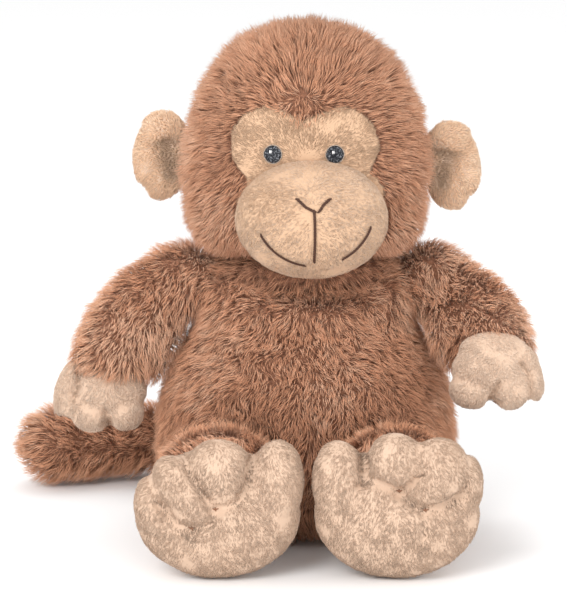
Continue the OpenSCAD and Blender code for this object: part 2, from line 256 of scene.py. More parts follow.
def shader(name, roughness, sheen=0.0, sheen_tint=(1, 1, 1)):
    m = bpy.data.materials.new(name)
    m.use_nodes = True
    nt = m.node_tree
    b = nt.nodes["Principled BSDF"]
    b.inputs["Roughness"].default_value = roughness
    b.inputs["Sheen Weight"].default_value = sheen
    b.inputs["Sheen Roughness"].default_value = 0.5
    b.inputs["Sheen Tint"].default_value = (*sheen_tint, 1)
    b.inputs["Specular IOR Level"].default_value = 0.2
    return m, nt, b


def ramp(nt, fac, stops):
    r = nt.nodes.new("ShaderNodeValToRGB")
    while len(r.color_ramp.elements) < len(stops):
        r.color_ramp.elements.new(0.5)
    for e, (at, colour) in zip(r.color_ramp.elements, stops):
        e.position = at
        e.color = (*colour, 1)
    nt.links.new(fac, r.inputs["Fac"])
    return r.outputs["Color"]


def noise_tex(nt, scale, detail, rough):
    tc = nt.nodes.new("ShaderNodeTexCoord")
    n = nt.nodes.new("ShaderNodeTexNoise")
    n.inputs["Scale"].default_value = scale
    n.inputs["Detail"].default_value = detail
    n.inputs["Roughness"].default_value = rough
    nt.links.new(tc.outputs["Object"], n.inputs["Vector"])
    return n.outputs["Fac"]


def mix_color(nt, kind, fac, a, b):
    mx = nt.nodes.new("ShaderNodeMix")
    mx.data_type, mx.blend_type = "RGBA", kind
    for sock, val in ((mx.inputs[0], fac), (mx.inputs[6], a), (mx.inputs[7], b)):
        if isinstance(val, bpy.types.NodeSocket):
            nt.links.new(val, sock)
        else:
            sock.default_value = val
    return mx.outputs[2]


def bump(nt, bsdf, height, strength, distance):
    bp = nt.nodes.new("ShaderNodeBump")
    bp.inputs["Strength"].default_value = strength
    bp.inputs["Distance"].default_value = distance
    nt.links.new(height, bp.inputs["Height"])
    nt.links.new(bp.outputs["Normal"], bsdf.inputs["Normal"])


def pile_material(name, tones, root, tip, roughness, sheen):
    """Pile whose map holds each hair's tone across and its length, root to tip, upward."""
    m, nt, b = shader(name, roughness, sheen, (1.0, 0.85, 0.72))
    uv = nt.nodes.new("ShaderNodeUVMap")
    uv.uv_map = "OFBake"
    sep = nt.nodes.new("ShaderNodeSeparateXYZ")
    nt.links.new(uv.outputs["UV"], sep.inputs["Vector"])
    tone = ramp(nt, sep.outputs["X"], tones)
    # Painted shade and highlight: each hair is darker at its root, where shade falls between the
    # hairs, and lighter at its tip.
    shade = ramp(nt, sep.outputs["Y"], [(0.0, (root,) * 3), (0.55, (0.5 * (root + tip),) * 3),
                                        (1.0, (tip,) * 3)])
    nt.links.new(mix_color(nt, "MULTIPLY", 1.0, tone, shade), b.inputs["Base Color"])
    return m


def backing_material(name, dark, light, scale, depth):
    """Knitted backing under the pile: fibres matted in every direction."""
    m, nt, b = shader(name, 0.9, 0.25, (1.0, 0.85, 0.72))
    n = noise_tex(nt, scale, 5, 0.7)
    nt.links.new(ramp(nt, n, [(0.3, dark), (0.7, light)]), b.inputs["Base Color"])
    bump(nt, b, n, 0.6, depth)
    return m


def tones_round(mid, pale):
    """Four tones of one dyed yarn, from its darkest fibres to its palest."""
    return [(0.0, tuple(c * 0.5 for c in mid)), (0.3, tuple(c * 0.78 for c in mid)),
            (0.6, mid), (1.0, pale)]


BROWN_YARN, BROWN_PALE = (0.77, 0.385, 0.224), (0.95, 0.60, 0.412)
FACE_YARN, FACE_PALE = (0.52, 0.335, 0.212), (0.67, 0.50, 0.375)
LIMB_YARN, LIMB_PALE = (0.575, 0.405, 0.295), (0.74, 0.565, 0.44)
EAR_YARN, EAR_PALE = (0.86, 0.58, 0.385), (0.94, 0.72, 0.53)
# The root and tip factors give painted shade at the roots and a painted highlight at the tips.
LONG_PILE = pile_material("long_pile", tones_round(BROWN_YARN, BROWN_PALE), 0.5, 1.12, 0.8, 0.15)
FACE_PILE = pile_material("face_pile", tones_round(FACE_YARN, FACE_PALE), 0.9, 1.05, 0.8, 0.15)
LIMB_PILE = pile_material("limb_pile", tones_round(LIMB_YARN, LIMB_PALE), 0.9, 1.05, 0.8, 0.15)
EAR_PILE = pile_material("ear_pile", tones_round(EAR_YARN, EAR_PALE), 0.9, 1.05, 0.8, 0.15)
BROWN_BACK = backing_material("brown_backing", (0.12, 0.05, 0.028), (0.34, 0.16, 0.095), 900,
                              0.0006)
FACE_BACK = backing_material("face_backing", (0.54, 0.35, 0.224), (0.58, 0.382, 0.25), 1400,
                             0.0002)
LIMB_BACK = backing_material("limb_backing", (0.565, 0.398, 0.29), (0.60, 0.43, 0.315), 1400,
                             0.0002)
TAN = {"face": (FACE_PILE, FACE_BACK), "limb": (LIMB_PILE, LIMB_BACK),
       "ear": (EAR_PILE, LIMB_BACK)}


# ---------------------------------------------------------------- pile

class Waves:
    """Smooth seeded noise about 0: a sum of plane waves of roughly one wavelength."""

    def __init__(self, seed, wavelength, count=10):
        r = np.random.default_rng(seed)
        self.k = unit(r.normal(size=(count, 3))) * 2 * np.pi / wavelength
        self.k *= r.uniform(0.6, 1.5, (count, 1))
        self.phase = r.uniform(0, 2 * np.pi, count)

    def __call__(self, p):
        return np.sin(p @ self.k.T + self.phase).sum(1) * math.sqrt(2 / len(self.phase))


def scatter(ob, per_cm2, rng, keep=None):
    """Random points over a skin by area, with smooth normals."""
    me = ob.data
    me.calc_loop_triangles()
    tri = np.empty(len(me.loop_triangles) * 3, int)
    me.loop_triangles.foreach_get("vertices", tri)
    tri = tri.reshape(-1, 3)
    co, no = coords(ob), normals(ob)
    a, b, c = co[tri[:, 0]], co[tri[:, 1]], co[tri[:, 2]]
    area = np.linalg.norm(np.cross(b - a, c - a), axis=1) / 2
    count = int(area.sum() * 1e4 * per_cm2)
    pick = rng.choice(len(tri), count, p=area / area.sum())
    u, v = rng.random(count), rng.random(count)
    over = u + v > 1
    u[over], v[over] = 1 - u[over], 1 - v[over]
    w = np.stack([1 - u - v, u, v], 1)[:, :, None]
    p = (co[tri[pick]] * w).sum(1)
    n = unit((no[tri[pick]] * w).sum(1))
    if keep is not None:
        m = keep(p, n)
        p, n = p[m], n[m]
    return p, n


def turn_about(v, axis, angle):
    c, s = np.cos(angle)[:, None], np.sin(angle)[:, None]
    return v * c + np.cross(axis, v) * s + axis * (v * axis).sum(1, keepdims=True) * (1 - c)


def nearest(p, targets):
    """Index of the target nearest to each point."""
    tree = kdtree.KDTree(len(targets))
    for i, q in enumerate(targets):
        tree.insert(q, i)
    tree.balance()
    return np.array([tree.find(q)[1] for q in p])


def hair_object(name, root, mid, tip, n, width, tones, material):
    """One mesh of tapered three-sided hairs: three points round each root and each middle,
    and one at the tip. Its map holds the tone across and the length upward."""
    count = len(root)
    along = unit(tip - root)
    side = unit(np.cross(along, n) + 1e-6)
    flat = np.cross(side, along)
    rings = []
    for c, share in ((root, 1.0), (mid, 0.8)):
        for a in np.radians([90, 210, 330]):
            rings.append(c + width[:, None] * share * (math.cos(a) * side
                                                       + 0.6 * math.sin(a) * flat))
    co = np.stack(rings + [tip], 1)
    co[:, :, 2] = np.maximum(co[:, :, 2], 0.0001)
    quads = [(0, 1, 4, 3), (1, 2, 5, 4), (2, 0, 3, 5)]
    tris = [(3, 4, 6), (4, 5, 6), (5, 3, 6), (2, 1, 0)]
    pattern = np.concatenate([np.array(quads).ravel(), np.array(tris).ravel()])
    starts = np.concatenate([np.arange(3) * 4, 12 + np.arange(4) * 3])
    loops = (np.arange(count)[:, None] * 7 + pattern).ravel()
    me = bpy.data.meshes.new(name)
    me.vertices.add(count * 7)
    me.vertices.foreach_set("co", co.astype(np.float32).ravel())
    me.loops.add(len(loops))
    me.loops.foreach_set("vertex_index", loops.astype(np.int32))
    me.polygons.add(count * 7)
    me.polygons.foreach_set("loop_start", (np.arange(count)[:, None] * len(pattern) + starts)
                            .ravel().astype(np.int32))
    me.update(calc_edges=True)
    uv = me.uv_layers.new(name="OFBake")
    nudge = np.array([-0.004, 0.0, 0.004, -0.004, 0.0, 0.004, 0.0])
    high = np.array([0.02, 0.02, 0.02, 0.5, 0.5, 0.5, 0.98])
    at = np.stack([np.broadcast_to(tones[:, None] * 0.98 + 0.01, (count, 7)) + nudge,
                   np.broadcast_to(high, (count, 7))], -1)
    uv.data.foreach_set("uv", at[:, pattern].astype(np.float32).ravel())
    me.shade_smooth()
    me.materials.append(material)
    ob = bpy.data.objects.new(name, me)
    scene.collection.objects.link(ob)
    return ob


def hairs(name, p, n, flow, rng, seed, length, width, lift, wander, tone, material,
          lock=0.28, lock_size=8, spread=0.22, jitter=1.0, sink=0.0008):
    """Hairs from points p on a skin, combed along flow and gathered in locks. width is a
    half-width in metres; length and tone may be arrays."""
    count = len(p)
    length = np.broadcast_to(np.asarray(length, float), (count,)) * rng.uniform(0.75, 1.15, count)
    width = np.broadcast_to(np.asarray(width, float), (count,)) * rng.uniform(0.7, 1.3, count)
    f = unit(flow - (flow * n).sum(1, keepdims=True) * n)
    f = turn_about(f, n, wander * (0.8 * Waves(seed, 0.016)(p) + 0.5 * Waves(seed + 1, 0.006)(p)
                                   + 0.35 * rng.normal(size=count)))
    rise = 1 + 0.3 * Waves(seed + 2, 0.012)(p)[:, None]
    d1 = unit(n * lift[0] * rise + f * (1 - lift[0] * 0.5)
              + 0.12 * jitter * rng.normal(size=(count, 3)))
    d2 = unit(n * lift[1] * rise + f + 0.16 * jitter * rng.normal(size=(count, 3)))
    half = (length / 2)[:, None]
    root = p - n * sink
    mid = root + d1 * half
    tip = mid + d2 * half
    leaders = rng.choice(count, max(1, count // lock_size), replace=False)
    near = nearest(p, p[leaders])
    own = leaders[near]
    pull = lock * rng.uniform(0.5, 1.2, count)[:, None]
    tip = tip + (tip[own] - tip) * pull
    mid = mid + (mid[own] - mid) * pull * 0.35
    shade = rng.normal(size=len(leaders))[near]
    for q in (root, mid, tip):
        q[:, 2] = np.maximum(q[:, 2], 0.0004)
    tones = tone + spread * (0.45 * rng.normal(size=count) + 0.45 * shade
                             + 0.45 * Waves(seed + 3, 0.05)(p))
    return hair_object(name, root, mid, tip, n, width, np.clip(tones, 0.02, 0.98), material)


# ---------------------------------------------------------------- long-pile parts

def tree_of(ob):
    return BVHTree.FromPolygons([v.co for v in ob.data.vertices],
                                [tuple(p.vertices) for p in ob.data.polygons])


def depth_in(tree, p):
    """How far each point lies inside a closed skin; negative outside. A point is inside when
    at least two of three rays from it leave through the first wall they meet."""
    ways = [Vector(unit(vec(*d))) for d in ((0.2, -1, 0.3), (-0.3, 0.2, 1), (0.1, 1, 0.4))]
    out = np.empty(len(p))
    for i, q in enumerate(p):
        inside = 0
        for way in ways:
            at, no, _, _ = tree.ray_cast(Vector(q), way)
            inside += at is not None and no.dot(way) > 0
        dist = tree.find_nearest(Vector(q))[3]
        out[i] = dist if inside >= 2 else -dist
    return out


def long_skin(name, nodes, lumps):
    """Backing of the long pile: the nodes and soft lumps on them, under the pile's height."""
    ob = merged(name, [node_arrays(n) for n in nodes] + lumps, LONG_VOXEL, 8)
    puff(ob, LONG_CAP)
    co = coords(ob) - normals(ob) * PILE_HEIGHT
    co[:, 2] = np.maximum(co[:, 2], FLOOR_GAP)
    set_coords(ob, co)
    m = ob.modifiers.new("subdivision", "SUBSURF")
    m.levels = m.render_levels = 1
    settle(ob)
    ob.data.shade_smooth()
    ob.data.materials.append(BROWN_BACK)
    return ob


def box_of(*nodes):
    boxes = [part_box(n) for n in nodes]
    return (np.min([vec(*b[0]) for b in boxes], 0), np.max([vec(*b[1]) for b in boxes], 0))


def mid_of(*nodes):
    lo, hi = box_of(*nodes)
    return (lo + hi) / 2


def attach(ob, slot, body=None, blend=None, stands_for=(), pad=None):
    """Rides on a body, or across a seam keeps its place with its transform baked in, and hides the
    parts it stands for.
    """
    if blend:
        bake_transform(ob)
    else:
        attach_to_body(ob, body)
    if stands_for:
        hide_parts(*stands_for)
    return ob


def long_pile(name, p, n, flow, rng, seed, tone, length=0.0096, wander=0.35, **seat):
    """Long pile in wedges round its middle, each a piece of at most PIECE_HAIRS hairs."""
    mid = p.mean(0)
    order = np.argsort(np.arctan2(p[:, 1] - mid[1], p[:, 0] - mid[0]))
    length, tone = (np.broadcast_to(v, (len(p),)) for v in (length, tone))
    wedges = math.ceil(len(p) / PIECE_HAIRS)
    for k, part in enumerate(np.array_split(order, wedges)):
        piece = f"{name}_{k + 1}" if wedges > 1 else name
        h = hairs(piece, p[part], n[part], flow[part], rng, seed, length[part], HAIR_HALF,
                  LIFT, wander, tone[part], LONG_PILE)
        attach(h, "long_pile", **seat)


# Voxel and cap of a long-pile skin, its depth under the fur, and its gap to the floor
LONG_VOXEL = 0.0045
LONG_CAP = 0.003
PILE_HEIGHT = 0.0062
FLOOR_GAP = 0.0006
# Hairs in one piece, a hair's half-width, its rise at root and tip, and hairs per cm2
PIECE_HAIRS = 19500
HAIR_HALF = 0.0002
LIFT = (1.25, 0.75)
PER_CM2 = 130
NECK_PER_CM2 = 90
SHORT_PER_CM2 = 400
TRIM_CAP = 0.0008
SHORT_HALF = 0.00018
NECK = JOINTS["neck_turn"]
FACE_LO, FACE_HI = box_of("face_panel")
MUZZLE_LO, MUZZLE_HI = box_of("muzzle_cover")
BROW = vec((FACE_LO[0] + FACE_HI[0]) / 2, FACE_LO[1], FACE_HI[2])
LOBE_R = 0.017
LOBE_HALF = (FACE_HI[0] - FACE_LO[0]) / 2 - LOBE_R
LOBE_Z = FACE_HI[2] - LOBE_R
MUZZLE_MID = (MUZZLE_LO + MUZZLE_HI) / 2
MUZZLE_R = (MUZZLE_HI - MUZZLE_LO) / 2


def face_distance(p):
    """Signed distance in the x-z plane out of the face panel and muzzle together."""
    x, z = p[:, 0] - BROW[0], p[:, 2]
    lobes = np.hypot(np.maximum(np.abs(x) - LOBE_HALF, 0), z - LOBE_Z) - LOBE_R
    brow = z - (FACE_HI[2] - 0.0052 * np.exp(-(x / 0.0085) ** 2))
    panel = np.maximum(lobes, brow)
    ex, ez = (p[:, 0] - MUZZLE_MID[0]) / MUZZLE_R[0], (z - MUZZLE_MID[2]) / MUZZLE_R[2]
    oval = (np.hypot(ex, ez) - 1) * min(MUZZLE_R[0], MUZZLE_R[2])
    return np.where(p[:, 1] < 0, np.minimum(panel, oval), 1.0)


def tilt_matrix(angle):
    """Turn in the x-z plane by an angle in degrees; positive leans the top toward +x."""
    c, s = math.cos(math.radians(angle)), math.sin(math.radians(angle))
    return np.array([[c, 0, s], [0, 1, 0], [-s, 0, c]])


def lump(at, half):
    """Soft bulge, in millimetres."""
    return egg(vec(*at) * MM, vec(*half) * MM)


def build_torso():
    rng = np.random.default_rng(11)
    lumps = [lump((0, -4, 108), (44, 38, 14))]
    lumps += [lump((s * 38, -3, 104), (16, 28, 16)) for s in SIDES.values()]
    lumps += [lump((s * 36, 0, 117), (19, 26, 14)) for s in SIDES.values()]
    skin = long_skin("torso_skin", ["torso_cover", "torso_stuffing"], lumps)
    attach(skin, "long_pile", "torso",
           stands_for=("torso_cover", "torso_stuffing", "bean_pouch"), pad=0.85)
    p, n = scatter(skin, PER_CM2, rng, lambda p, n: (p[:, 2] > 0.002) | (rng.random(len(p)) < 0.3))
    out = unit((p - vec(0, 0.01, 0.05)) * vec(1, 0.6, 0))
    flow = vec(0, 0, -1) + 0.55 * out
    # Tone rises from the lower belly up the chest: the darker belly is partly its own tone and
    # partly painted shade.
    tone = 0.53 + 0.12 * np.clip((p[:, 2] - 0.055) / 0.035, 0, 1)
    long_pile("torso_pile", p, n, flow, rng, 21, tone=tone, wander=0.42, body="torso")
    return skin


def build_neck():
    rng = np.random.default_rng(12)
    skin = merged("neck_skin", [egg(NECK + vec(0, 0.004, 0), vec(0.043, 0.033, 0.013))], 0.003, 2)
    skin.data.materials.append(BROWN_BACK)
    attach(skin, "long_pile", "neck", stands_for=("neck_stuffing",), pad=0.7)
    p, n = scatter(skin, NECK_PER_CM2, rng)
    flow = unit((p - NECK) * vec(1, 1, 0)) + vec(0, 0, -0.6)
    long_pile("neck_pile", p, n, flow, rng, 41, tone=0.42, body="neck")


def build_head():
    rng = np.random.default_rng(13)
    cheeks = [lump((s * 35, -8, 150), (24, 34, 21)) for s in SIDES.values()]
    skin = long_skin("head_skin", ["head_cover", "head_stuffing", "face_panel"], cheeks)
    attach(skin, "long_pile", "head", stands_for=("head_cover", "head_stuffing"), pad=0.9)
    p, n = scatter(skin, PER_CM2, rng, lambda p, n: face_distance(p) > -0.0005)
    away = p - (BROW - vec(0, -0.004, 0.004))
    flow = unit(away) + vec(0, 0, -0.12)
    near = np.exp(-((p[:, 0] - BROW[0]) / 0.009) ** 2) * (p[:, 1] < 0) \
        * np.exp(-np.maximum(p[:, 2] - FACE_HI[2], 0) / 0.007)
    flow = flow * (1 - near)[:, None] + vec(0, -0.3, -1) * near[:, None]
    far = np.clip(face_distance(p) / 0.02, 0, 1)
    # Tone falls on hairs facing up: painted shade over the top of the head.
    long_pile("head_pile", p, n, flow, rng, 51, length=0.0070 + 0.0036 * far,
              tone=0.62 - 0.14 * np.clip(n[:, 2], 0, 1), wander=0.28,
              body="head")
    return skin


def build_arm(side, torso_tree):
    s = SIDES[side]
    rng = np.random.default_rng(14 + s)
    nodes = [f"arm_{side}_cover", f"arm_{side}_stuffing"]
    shoulder = JOINTS[f"arm_{side}_raise"]
    hand = mid_of(f"hand_{side}_cover")
    elbow = shoulder + 0.5 * (hand - shoulder)
    lumps = [egg(shoulder + vec(s * 4, -1, 6) * MM, vec(24, 21, 19) * MM),
             egg(elbow + vec(-s * 4, 0, -5) * MM, vec(13.5, 15, 21) * MM, tilt_matrix(-28 * s))]
    skin = long_skin(f"arm_{side}_skin", nodes, lumps)
    seam = ("torso", f"arm_{side}", tuple(shoulder - vec(s * 0.016, 0, 0)),
            tuple(shoulder + vec(s * 0.012, 0, 0)))
    p, n = scatter(skin, PER_CM2, rng)
    keep = (depth_in(torso_tree, p) < 0.003)
    p, n = p[keep], n[keep]
    aim_at = shoulder + 1.4 * (hand - shoulder)
    flow = unit(aim_at - p) + 0.25 * unit(p - mid_of(nodes[0])) + vec(0, 0, -0.2)
    attach(skin, "long_pile", blend=seam, stands_for=nodes, pad=0.8)
    long_pile(f"arm_{side}_pile", p, n, flow, rng, 71 + 10 * s, tone=0.78, wander=0.36,
              blend=seam)


def build_leg(side, torso_tree):
    s = SIDES[side]
    rng = np.random.default_rng(17 + s)
    nodes = [f"leg_{side}_cover", f"leg_{side}_stuffing"]
    skin = long_skin(f"leg_{side}_skin", nodes, [lump((s * 41, -70, 39), (32, 22, 27))])
    hip = JOINTS[f"leg_{side}_lift"]
    foot = mid_of(f"foot_{side}_cover")
    seam = ("torso", f"leg_{side}", tuple(hip + vec(0, 0.008, 0)), tuple(hip - vec(0, 0.018, 0)))
    p, n = scatter(skin, PER_CM2, rng)
    keep = (depth_in(torso_tree, p) < 0.003) & (p[:, 1] > foot[1] + 0.004)
    p, n = p[keep], n[keep]
    flow = vec(0, -0.7, 0) + 0.9 * unit((p - hip) * vec(1, 0, 1))
    attach(skin, "long_pile", blend=seam, stands_for=nodes, pad=0.8)
    long_pile(f"leg_{side}_pile", p, n, flow, rng, 101 + 10 * s, tone=0.62, wander=0.4,
              blend=seam)


def build_tail(torso_tree):
    root, middle = JOINTS["tail_swing"], JOINTS["tail_bend"]
    lo, hi = box_of("tail_end_cover")
    tip = vec(lo[0], (lo[1] + hi[1]) / 2 - 0.008, (lo[2] + hi[2]) / 2)
    for part, nodes, a, b, seam, seed in (
            ("tail_base", ["tail_base_cover", "tail_base_stuffing"], root, middle,
             ("torso", "tail_base", tuple(root - vec(0, 0.01, 0)),
              tuple(root + vec(-0.006, 0.014, 0))), 131),
            ("tail_end", ["tail_end_cover", "tail_end_stuffing"], middle, tip,
             ("tail_base", "tail_end", tuple(middle + vec(0.014, 0, 0)),
              tuple(middle - vec(0.014, 0, 0))), 141)):
        rng = np.random.default_rng(seed)
        end = tip if part == "tail_end" else root
        skin = long_skin(f"{part}_skin", nodes,
                         [egg(middle + 0.3 * (end - middle) * vec(1, 1, 0), vec(17, 17, 18) * MM)])
        p, n = scatter(skin, PER_CM2, rng)
        if part == "tail_base":
            keep = depth_in(torso_tree, p) < 0.003
            p, n = p[keep], n[keep]
        flow = unit(b - a) + 0.45 * unit(p - (a + b) / 2) + vec(0, 0, -0.1)
        attach(skin, "long_pile", blend=seam, stands_for=nodes, pad=0.8)
        # Tone rises toward the tail's end: the darker root and middle carry painted shade.
        tipward = np.clip((middle[0] - p[:, 0]) / (middle[0] - lo[0]), 0, 1)
        long_pile(f"{part}_pile", p, n, flow, rng, seed, length=0.0115, tone=0.44 + 0.54 * tipward,
                  wander=0.42, blend=seam)


torso_skin = build_torso()
torso_tree = tree_of(torso_skin)
head_skin = build_head()
head_tree = tree_of(head_skin)
build_neck()
for side in SIDES:
    build_arm(side, torso_tree)
    build_leg(side, torso_tree)
build_tail(torso_tree)


# ---------------------------------------------------------------- short-pile parts

def line_distance(p, points):
    """Distance of each point from a line of points, and its share along the line."""
    best = np.full(len(p), 1e9)
    where = np.zeros(len(p))
    for i in range(len(points) - 1):
        a, d = points[i], points[i + 1] - points[i]
        t = np.clip(((p - a) @ d) / (d @ d), 0, 1)
        dist = np.linalg.norm(p - a - t[:, None] * d, axis=1)
        where = np.where(dist < best, (i + t) / (len(points) - 1), where)
        best = np.minimum(best, dist)
    return best, where


def crease(ob, points, depth, width, taper=True):
    """Presses a sewn line into the front of a skin; the line is seen along y."""
    co, no = coords(ob), normals(ob)
    front = np.clip((0.15 - no[:, 1]) / 0.3, 0, 1)
    flat = np.asarray(points, float)[:, [0, 2]]
    dist, where = line_distance(co[:, [0, 2]], flat)
    size = np.exp(-(dist / width) ** 2) * front
    if taper:
        size *= np.clip(np.minimum(where, 1 - where) * 5 + 0.25, 0, 1)
    set_coords(ob, co - no * (depth * size)[:, None])


def short_pile(name, skin, rng, seed, flow, yarn="limb", length=0.0022, tone=0.6, keep=None,
               lift=(0.4, 0.16), tone_of=None, spread=0.10, wander=0.2):
    """Short pile over a skin, as dense as PIECE_HAIRS allows."""
    p, n = scatter(skin, SHORT_PER_CM2, rng, keep)
    if len(p) > PIECE_HAIRS:
        some = rng.choice(len(p), PIECE_HAIRS, replace=False)
        p, n = p[some], n[some]
    t = tone if tone_of is None else tone + tone_of(p, n)
    return hairs(name, p, n, flow(p, n), rng, seed, length, SHORT_HALF, lift, wander, t,
                 TAN[yarn][0], lock=0.15, lock_size=5, spread=spread, jitter=0.6, sink=0.0003)


def finish_skin(ob, yarn="limb", levels=1):
    if levels:
        m = ob.modifiers.new("subdivision", "SUBSURF")
        m.levels = m.render_levels = levels
        settle(ob)
    ob.data.shade_smooth()
    ob.data.materials.append(TAN[yarn][1])
    return ob


# Toes folded forward and tacked down: [outward, forward, up], half-sizes, lean
FOOT_LUMPS = {
    "right": [((0.5, 0, -0.5), (37.5, 17, 30), 0), ((-26, 1.5, 13.5), (12.5, 13.5, 20), -4),
              ((0, 6.5, 20.5), (15, 13, 14.5), 0), ((14.6, 7.5, 12.2), (10.8, 13, 18.5), 41),
              ((29.5, 2.5, 3), (8.5, 12.5, 14), 8)],
    "left": [((0.5, 0, -0.5), (37.5, 17, 30), 0), ((-25.5, 1.5, 13.5), (12.5, 13.5, 20), -4),
             ((-0.5, 6.5, 25), (12.8, 13, 13), -12), ((18, 7, 19.6), (14.8, 13.5, 16.4), 20),
             ((31, 2, 12), (8, 12.5, 15), 4)],
}
# Sewn lines on the sole: [outward, up] points, depth, width
FOOT_CREASES = {
    "right": [([(-14.5, 28), (-14.2, 17), (-9, 8), (1.2, 4.6)], 2.6, 1.8),
              ([(15, 26), (7.5, 14.5), (1.2, 4.6)], 2.2, 1.3),
              ([(1.2, 4.6), (2.5, -1.5), (11.8, -4.4)], 2.4, 1.7),
              ([(11.8, -4.4), (19, -2.5), (25, 5.5), (28.5, 9)], 2.2, 1.9),
              ([(19, -3), (12, -9.5)], 1.2, 1.6), ([(11.8, -4.4), (9, -13)], 1.0, 1.8)],
    "left": [([(-14.5, 28), (-15, 16.3), (-18, 13.5)], 2.6, 1.9),
             ([(-14.5, 19), (1.1, 12.4), (4.6, 8.6), (12.8, 4)], 2.6, 1.9),
             ([(12.8, 4), (21, 6), (30, 11.6), (33, 18)], 2.4, 1.9),
             ([(11.8, 22.5), (7.8, 19), (2.8, 13)], 2.4, 1.2),
             ([(12.8, 4), (12.6, -3), (12.3, -11)], 1.5, 1.3)],
}
TACKS = {"right": [(1.2, 4.6), (11.8, -4.4)], "left": [(1.1, 12.4), (12.8, 4)]}


# Palm, two fingers, thumb and the fold beside it: [outward, forward, up], half-sizes, lean
HAND_LUMPS = {
    "right": [((-2, 0, 4), (19, 11, 13), 0), ((5, 1, -7.2), (10, 10, 8.2), 0),
              ((-10.8, 0.5, -6), (9, 9.5, 9), 0), ((16.8, 0, 5.5), (5.6, 8, 14), -17),
              ((15.4, 4.5, -1.5), (4.6, 6, 6.5), -8), ((-3, -2, 14), (15, 9, 9), 0)],
    "left": [((-5, 0, 5), (17.5, 11.5, 12.5), 0), ((-13.5, 1, -4.5), (10, 10, 9), 0),
             ((4.6, 1.5, -3.5), (9.5, 9.5, 10.5), 8), ((14, 0, 3), (5.6, 8, 13.5), -15),
             ((-3, -2, 14), (16, 9, 8), 0)],
}
# Sewn lines of the hand: [outward, up] points, depth, width
HAND_CREASES = {
    "right": [([(11.6, 17), (11, 8), (13, 1.5)], 2.0, 1.5),
              ([(-2.6, -13), (-2.8, -7.5), (-1, -3)], 2.2, 1.5)],
    "left": [([(8.6, 10.5), (12.3, 5), (14.2, -4)], 2.4, 1.6),
             ([(-5.4, -12), (-3.8, -5.5), (-0.5, 1)], 2.0, 1.6)],
}
HAND_TACK = {"right": (-2.6, -11), "left": (-2, -10.5)}


def lumpy_skin(name, body, parts, lines, dents, middle, cap, slack):
    """Skin round lumps, filled, with sewn lines and tacked dents pulled in from the front."""
    ob = merged(name, parts, 0.0016, 2)
    co = coords(ob)
    front = co[:, 1] < middle[1]
    tied = np.zeros(len(co))
    for pts, _, w in lines:
        dist, _ = line_distance(co[:, [0, 2]], pts[:, [0, 2]])
        tied = np.maximum(tied, 0.7 * np.exp(-(dist / w) ** 2) * front)
    for t in dents:
        dist = np.hypot(co[:, 0] - t[0], co[:, 2] - t[2])
        tied = np.maximum(tied, np.exp(-(dist / 0.0035) ** 2) * front)
    puff(ob, cap, tied)
    for pts, d, w in lines:
        crease(ob, pts, d, w)
    for t in dents:
        crease(ob, [t - vec(0.0005, 0, 0), t + vec(0.0005, 0, 0)], 0.0028, 0.0024, taper=False)
    m = ob.modifiers.new("smooth", "SMOOTH")
    m.factor, m.iterations = 0.5, 1
    settle(ob)
    co = coords(ob)
    co[:, 2] = np.maximum(co[:, 2], 0.0004)
    set_coords(ob, co)
    finish_skin(ob)
    attach(ob, "short_pile", body, stands_for=slack, pad=0.85)
    return ob


def in_creases(lines, depth=0.42):
    """Tone taken away from hairs in the sewn lines, where the pile is in its own shade."""
    def shade(p, n):
        d = np.min([line_distance(p[:, [0, 2]], pts[:, [0, 2]])[0] / w for pts, _, w in lines], 0)
        return -depth * np.exp(-(d / 0.8) ** 2) * (n[:, 1] < 0)
    return shade


def tack_threads(name, skin, places, body, stands_for=()):
    """Short crossed stitches that hold a fold down."""
    tree = tree_of(skin)
    threads = []
    for t in places:
        hit = tree.ray_cast(Vector((t[0], t[1] - 0.1, t[2])), Vector((0, 1, 0)))
        at = vec(*hit[0]) - vec(0, 0.0003, 0)
        for angle, dx in ((25, -0.0006), (-20, 0.0004), (80, 0.0)):
            threads.append(egg(at + vec(dx, 0, 0), vec(0.0013, 0.0004, 0.0003),
                               tilt_matrix(angle), 12))
    ob = merged(name, threads, 0.00015, 0)
    ob.data.materials.append(TACK_THREAD)
    attach(ob, "tan_thread", body, stands_for=stands_for)


def build_foot(side):
    s = SIDES[side]
    rng = np.random.default_rng(23 + s)
    body = f"leg_{side}"
    nodes = (f"foot_{side}_cover", f"foot_{side}_stuffing")
    lo, hi = box_of(nodes[0])
    c = vec((lo[0] + hi[0]) / 2, lo[1] + 0.0207, 0.031)

    def place(o, d, u):
        return c + vec(s * o, -d, u) * MM

    parts = [egg(place(*at), vec(*r) * MM, tilt_matrix(s * lean), 40)
             for at, r, lean in FOOT_LUMPS[side]]
    lines = [(np.array([place(o, 0, u) for o, u in pts]), 1.5 * d * MM, w * MM)
             for pts, d, w in FOOT_CREASES[side]]
    dents = [place(o, 0, u) for o, u in TACKS[side]]
    ob = lumpy_skin(f"foot_{side}", body, parts, lines, dents, c, 0.002, nodes)

    def combed(p, n):
        return vec(0, 0, -1) + 0.3 * unit((p - c) * vec(1, 0, 0.2))

    h = short_pile(f"foot_{side}_pile", ob, rng, 151 + 5 * s, combed, tone=0.5,
                   tone_of=in_creases(lines),
                   keep=lambda p, n: (n[:, 1] < 0.3) & (p[:, 1] < c[1] + 0.016))
    attach(h, "short_pile", body)
    tack_threads(f"foot_{side}_tack_threads", ob, dents, body, (f"foot_{side}_tacks",))


